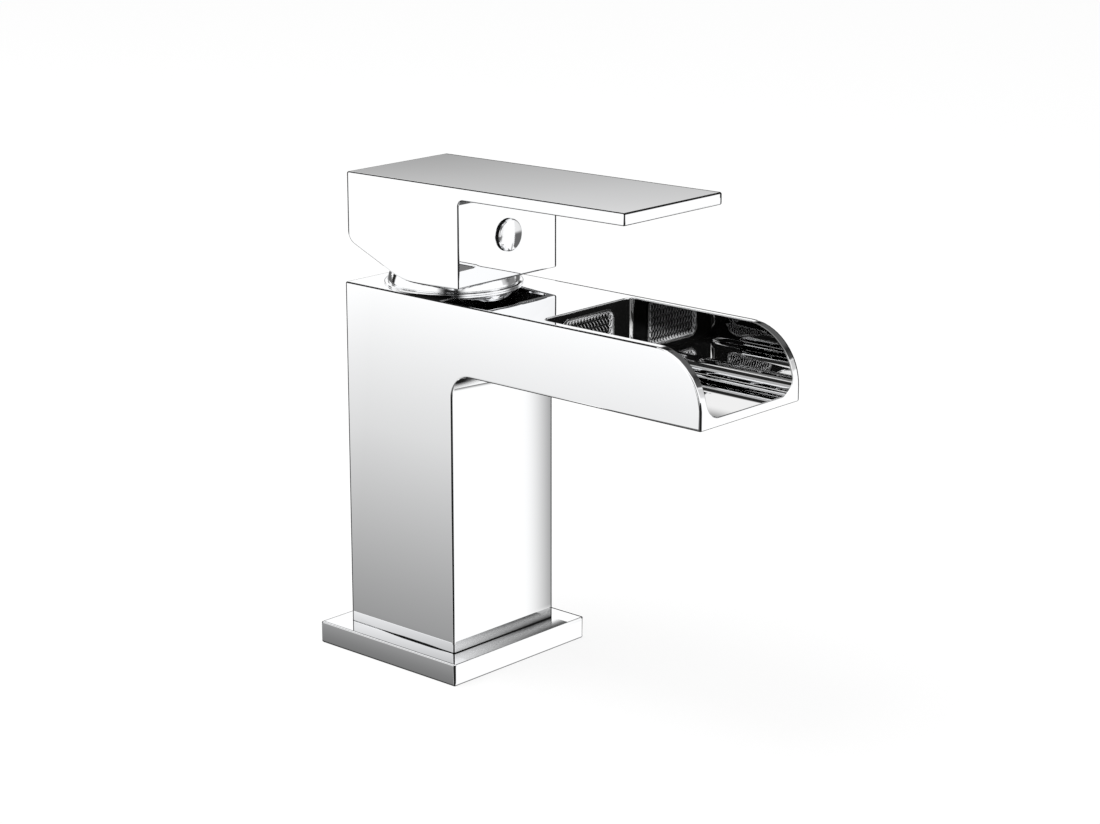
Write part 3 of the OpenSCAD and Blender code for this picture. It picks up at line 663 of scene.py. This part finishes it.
def makeWeave(size):
    # Two families of wires slope down to either side, each swinging over and under the other.
    # A wire's own offset is fixed along its normal, and its swing is the cosine of its height
    low, high = (np.array(corner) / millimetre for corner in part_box("outlet_mesh"))
    middle = (low + high) / 2
    halfY, halfZ = (high - low)[1:] / 2 - size["inset"]
    slope = math.radians(size["slope"])
    along = np.array([math.cos(slope), -math.sin(slope)])
    aside = np.array([math.sin(slope), math.cos(slope)])
    cornerCut = halfY + halfZ - size["corner"]
    fences = np.array([[1, 0], [0, 1], [1, 1], [1, -1]], float)
    bounds = np.array([halfY, halfZ, cornerCut, cornerCut])
    count = int((halfY * aside[0] + halfZ * aside[1]) / size["pitch"])
    o = np.arange(-count, count + 1)[:, None] * size["pitch"]
    run, shift = fences @ along, (fences @ aside)[None, :] * o
    stops = np.stack([(-bounds - shift) / run, (bounds - shift) / run])
    first, last = stops.min(0).max(1), stops.max(0).min(1)
    kept = last - first > size["pitch"]
    t = first[kept, None] + (last - first)[kept, None] * np.linspace(0, 1, size["samples"])
    y = t * along[0] + o[kept] * aside[0]
    z = t * along[1] + o[kept] * aside[1]
    swing = size["wire"] * np.cos(2 * np.pi * z * aside[1] / size["pitch"])
    paths = np.concatenate([np.stack([swing, y, z], -1), np.stack([-swing, -y, z], -1)])
    rings = carryTube(paths + middle, size["wire"], size["sides"])
    wires, length = rings.shape[0], rings.shape[1]
    faces = gridFaces(length, size["sides"], False, True)
    step = np.arange(wires)[:, None, None] * length * size["sides"]
    piece = meshPiece("wovenMesh", rings.reshape(-1, 3) * millimetre,
                      (faces[None] + step).reshape(-1, 4), "mesh_steel", "faucet",
                      ("outlet_mesh",))
    perWire = len(piece.data.vertices) // wires
    weft = piece.data.attributes.new("weft", "FLOAT", "POINT")
    share = (np.arange(len(piece.data.vertices)) >= perWire * (wires // 2))
    weft.data.foreach_set("value", share.astype(np.float32))
    return piece


makeWeave(weave)
print("stage 6: woven mesh made")


# Studio, in metres and degrees. Polished metal mirrors a floor with painted light and shade:
# light sheets painted on the left and in front, a painted grey floor between them, and a white
# sky with dark cards

paper = dict(
    radius=9.0, rings=24, spokes=96, albedo=0.95, glow=1.02, shadowShare=0.2,
    white=1.05, gap=0.14, plateHalf=0.0275, contactShade=0.0012, contactTone=0.08,
    wideSwing=(0.05, 0.34), closeSwing=(0.03, 0.06),  # distances over which borders swing
    farTone=0.85, farAway=(0.62, 0.85), farWedges=((252, 22, 10), (5, 48, 40)))
leftSheet = dict(
    azimuth=228, corner=(0.0275, -0.0275), spread=(0.2, 0.34), spreadTurn=13,
    border=(8, 10.5), backCorner=(-0.0275, -0.0275), wideTurn=-65, closeTurn=-60,
    backBorder=(-17, -13), column=0.021, nearTone=0.28, nearSlope=2.7, tone=0.4415, slope=1.75,
    plateTone=0.66, plateFade=0.016, glint=(2.5, 6), glintAway=(0.2, 0.3))
frontSheet = dict(
    azimuth=48, corner=(0.0275, -0.0275), start=(0.0272, 0.0277), border=(-17, -13),
    farCorner=(0.0275, 0.0275), wideTurn=60, closeTurn=75, farBorder=(1.5, 4),
    mirror=(-0.4741, -0.5279), rollOff=(-0.75, 0.35), rollEnd=(0.15, 0.3),
    rollAway=(0.36, 0.42), rollStart=(0.036, 0.042), depth=0.95)


def bearing(start, x, y, azimuth, middle=(0, 0)):
    # The angle from a compass direction round a point, from -180 to 180 degrees
    turn = math.radians(azimuth)
    east, north = x - middle[0], y - middle[1]
    ahead = east * math.cos(turn) + north * math.sin(turn)
    aside = north * math.cos(turn) - east * math.sin(turn)
    return start.maths("DEGREES", start.maths("ARCTAN2", aside, ahead))


def wedge(start, x, y, azimuth, halfWidth, soft):
    # 1 inside a wedge of directions, falling smoothly to 0 over its soft border
    angle = start.maths("ABSOLUTE", bearing(start, x, y, azimuth))
    return 1 - angle.between(halfWidth, halfWidth + soft)


def swung(turn, away, sheet):
    # A sheet's border, which swings outwards near the plate
    return (turn - away.ramp(*paper["wideSwing"], sheet["wideTurn"], 0)
            - away.ramp(*paper["closeSwing"], sheet["closeTurn"], 0))


def leftPaintedSheet(start, x, y, away, fromPlate):
    # Where the left sheet lies, and its tone: a painted grey shade that clears with distance
    # and near the plate grows darker, and a painted white glint along its near border
    sheet = leftSheet
    turn = bearing(start, x, y, sheet["azimuth"], sheet["corner"])
    limit = away.ramp(*sheet["spread"], 0, sheet["spreadTurn"])
    backTurn = bearing(start, x, y, sheet["azimuth"], sheet["backCorner"])
    inside = (1 - (turn - limit).between(*sheet["border"])) * swung(
        backTurn, away, sheet).between(*sheet["backBorder"])
    aside = start.maths("MAXIMUM", -1 * x, -1 * y) - sheet["column"]
    grey = start.maths("MINIMUM", sheet["nearTone"] + sheet["nearSlope"] * aside,
                       sheet["tone"] + sheet["slope"] * aside)
    grey = start.maths("MINIMUM", grey, paper["white"])
    grey = grey * (sheet["plateTone"] + (1 - sheet["plateTone"])
                   * fromPlate.between(0, sheet["plateFade"]))
    glint = turn.between(*sheet["glint"]) * (1 - away.between(*sheet["glintAway"]))
    return inside, grey + (paper["white"] - grey) * glint


def frontPaintedSheet(start, x, y, away):
    # Where the front sheet lies, and its tone: white, with a short painted roll-off to dark
    # shade in what the column's front mirrors along its right edge
    sheet = frontSheet
    turn = bearing(start, x, y, sheet["azimuth"], sheet["corner"])
    inside = start.maths("MAXIMUM", x, y).between(*sheet["start"]) * turn.between(
        *sheet["border"])
    farTurn = bearing(start, x, y, sheet["azimuth"], sheet["farCorner"])
    inside = inside * (1 - swung(farTurn, away, sheet).between(*sheet["farBorder"]))
    fade = bearing(start, x, y, sheet["azimuth"], sheet["mirror"])
    rollOff = fade.between(*sheet["rollOff"]) * (1 - fade.between(*sheet["rollEnd"])) * (
        1 - away.between(*sheet["rollAway"])) * x.between(*sheet["rollStart"])
    return inside, paper["white"] * (1 - sheet["depth"] * rollOff)


def paintedMirroredFloor(start):
    # How bright the floor is painted in the metal: two sheets on a painted grey shade that
    # clears far away, and a painted contact shadow round the plate
    place = start.node("ShaderNodeTexCoord", output="Object")
    x, y, z = start.node("ShaderNodeSeparateXYZ", {}, {"Vector": place}).outputs()
    away = start.maths("SQRT", x * x + y * y)
    fromPlate = start.maths("MAXIMUM", start.maths("ABSOLUTE", x),
                            start.maths("ABSOLUTE", y)) - paper["plateHalf"]
    inLeft, left = leftPaintedSheet(start, x, y, away, fromPlate)
    inFront, front = frontPaintedSheet(start, x, y, away)
    wedges = [wedge(start, x, y, *sizes) for sizes in paper["farWedges"]]
    beyond = away.between(*paper["farAway"]) * start.maths("MAXIMUM", *wedges)
    tone = paper["gap"] + (paper["farTone"] - paper["gap"]) * beyond
    tone = tone + (left - tone) * inLeft
    tone = tone + (front - tone) * inFront
    return tone * (paper["contactTone"] + (1 - paper["contactTone"])
                   * fromPlate.between(0, paper["contactShade"]))


def makeFloor(size):
    # Rings of points: a ring's radius is the floor's times the square of the ring's share
    rings, spokes = size["rings"], size["spokes"]
    reach = size["radius"] * np.linspace(0, 1, rings)[:, None] ** 2
    turn = np.linspace(0, 2 * np.pi, spokes, endpoint=False)[None, :]
    points = np.stack([reach * np.cos(turn), reach * np.sin(turn), 0 * reach * turn], axis=-1)
    mesh = bpy.data.meshes.new("floor")
    mesh.from_pydata(points.reshape(-1, 3).tolist(), [],
                     gridFaces(rings, spokes, False, True).tolist())
    mesh.validate()
    floor = bpy.data.objects.new("floor", mesh)
    bpy.context.scene.collection.objects.link(floor)
    material = bpy.data.materials.new("floorPaper")
    start = newTree(material)
    rays = start.node("ShaderNodeLightPath").outputs()
    toCamera, toMetal = rays[0], rays[3]
    matt = start.node("ShaderNodeBsdfDiffuse", {}, {"Color": (*[size["albedo"]] * 3, 1)})
    white = start.node("ShaderNodeEmission", {}, {"Color": (1, 1, 1, 1),
                                                  "Strength": size["glow"]})
    seen = start.node("ShaderNodeMixShader", {}, {0: size["shadowShare"], 1: white, 2: matt})
    # For the metal the floor glows with its painted light and shade, not with the lamp's light
    mirrored = start.node("ShaderNodeEmission", {}, {"Color": (1, 1, 1, 1),
                                                     "Strength": paintedMirroredFloor(start)})
    plain = start.node("ShaderNodeMixShader", {}, {0: toCamera, 1: matt, 2: seen})
    surface = start.node("ShaderNodeMixShader", {}, {0: toMetal, 1: plain, 2: mirrored})
    start.node("ShaderNodeOutputMaterial", {}, {"Surface": surface})
    mesh.materials.append(material)


# The sky has a low grey haze at the back and dark cards all round: a middle, half a width, the
# two heights, the soft borders and how dark it is
sky = dict(white=1.05, dark=0.02, light=0.75, hazeWedge=(132, 24, 14), hazeHeights=(7, 11.6),
           hazeTone=0.02)
cards = [
    dict(azimuth=-51, halfWidth=10, low=-90, high=37, side=18, foot=1, head=6, share=1.0),
    dict(azimuth=222, halfWidth=14, low=24, high=36, side=6, foot=6, head=5, share=1.0),
    dict(azimuth=132, halfWidth=11, low=24, high=38, side=5, foot=4, head=4, share=1.0),
    dict(azimuth=84, halfWidth=36, low=21, high=54, side=3, foot=3, head=6, share=0.92),
    dict(azimuth=62, halfWidth=11, low=8, high=17, side=4.5, foot=3, head=2, share=0.4),
    dict(azimuth=74, halfWidth=9, low=-20, high=30, side=14, foot=4, head=6, share=0.8),
    dict(azimuth=183, halfWidth=4, low=-20, high=10, side=5, foot=4, head=6, share=1.0),
]


def softCard(start, axes, height, card):
    # 1 inside a rectangle of directions, falling smoothly to 0 over its borders
    across = wedge(start, axes[0], axes[1], card["azimuth"], card["halfWidth"], card["side"])
    rise = height.between(card["low"] - card["foot"], card["low"])
    fall = height.between(card["high"], card["high"] + card["head"])
    return across * rise * (1 - fall)


def makeWorld(size):
    # The metal sees the haze and the cards, the floor an even sky and the camera plain white
    world = bpy.data.worlds.new("studioSky")
    bpy.context.scene.world = world
    start = newTree(world)
    place = start.node("ShaderNodeTexCoord")
    axes = start.node("ShaderNodeSeparateXYZ", {}, {"Vector": place}).outputs()
    height = start.maths("DEGREES", start.maths("ARCSINE", axes[2]))
    haze = height.ramp(*size["hazeHeights"], size["hazeTone"], 1.0)
    tone = size["white"] * (1 - wedge(start, axes[0], axes[1], *size["hazeWedge"])
                            * (1 - haze))
    for card in cards:
        tone = tone * (1 - card["share"] * (1 - size["dark"])
                       * softCard(start, axes, height, card))
    rays = start.node("ShaderNodeLightPath").outputs()
    toCamera, toMetal = rays[0], rays[3]
    strength = size["light"] + (tone - size["light"]) * toMetal
    strength = strength + (1.0 - strength) * toCamera
    background = start.node("ShaderNodeBackground", {}, {"Color": (1, 1, 1, 1),
                                                          "Strength": strength})
    start.node("ShaderNodeOutputWorld", {}, {"Surface": background})


# In metres and watts
lamp = dict(place=(-0.5, -0.4, 1.5), size=1.2, power=14.0)


def makeLamp(size):
    # One wide soft lamp above the left; the metal doesn't mirror it
    data = bpy.data.lights.new("softLamp", "AREA")
    data.shape = "DISK"
    data.size = size["size"]
    data.energy = size["power"]
    shine = bpy.data.objects.new("softLamp", data)
    bpy.context.scene.collection.objects.link(shine)
    shine.location = size["place"]
    shine.rotation_euler = (-Vector(size["place"])).to_track_quat("-Z", "Y").to_euler()
    shine.visible_glossy = False


# The photograph's camera, fitted to its edges: in metres, its lens and sensor in millimetres
view = dict(place=(0.5161, -0.5279, 0.2730), target=(0.03906, 0.0, 0.07739), lens=86.1,
            sensor=36.0, clip=(0.01, 50))


def makeCamera(size):
    data = bpy.data.cameras.new("camera")
    data.lens = size["lens"]
    data.sensor_width = size["sensor"]
    data.clip_start, data.clip_end = size["clip"]
    camera = bpy.data.objects.new("camera", data)
    bpy.context.scene.collection.objects.link(camera)
    place = Vector(size["place"])
    camera.location = place
    camera.rotation_euler = (Vector(size["target"]) - place).to_track_quat(
        "-Z", "Y").to_euler()
    bpy.context.scene.camera = camera


makeFloor(paper)
makeWorld(sky)
makeLamp(lamp)
makeCamera(view)
bpy.context.scene.view_settings.view_transform = "Standard"
print("stage 7: studio made")
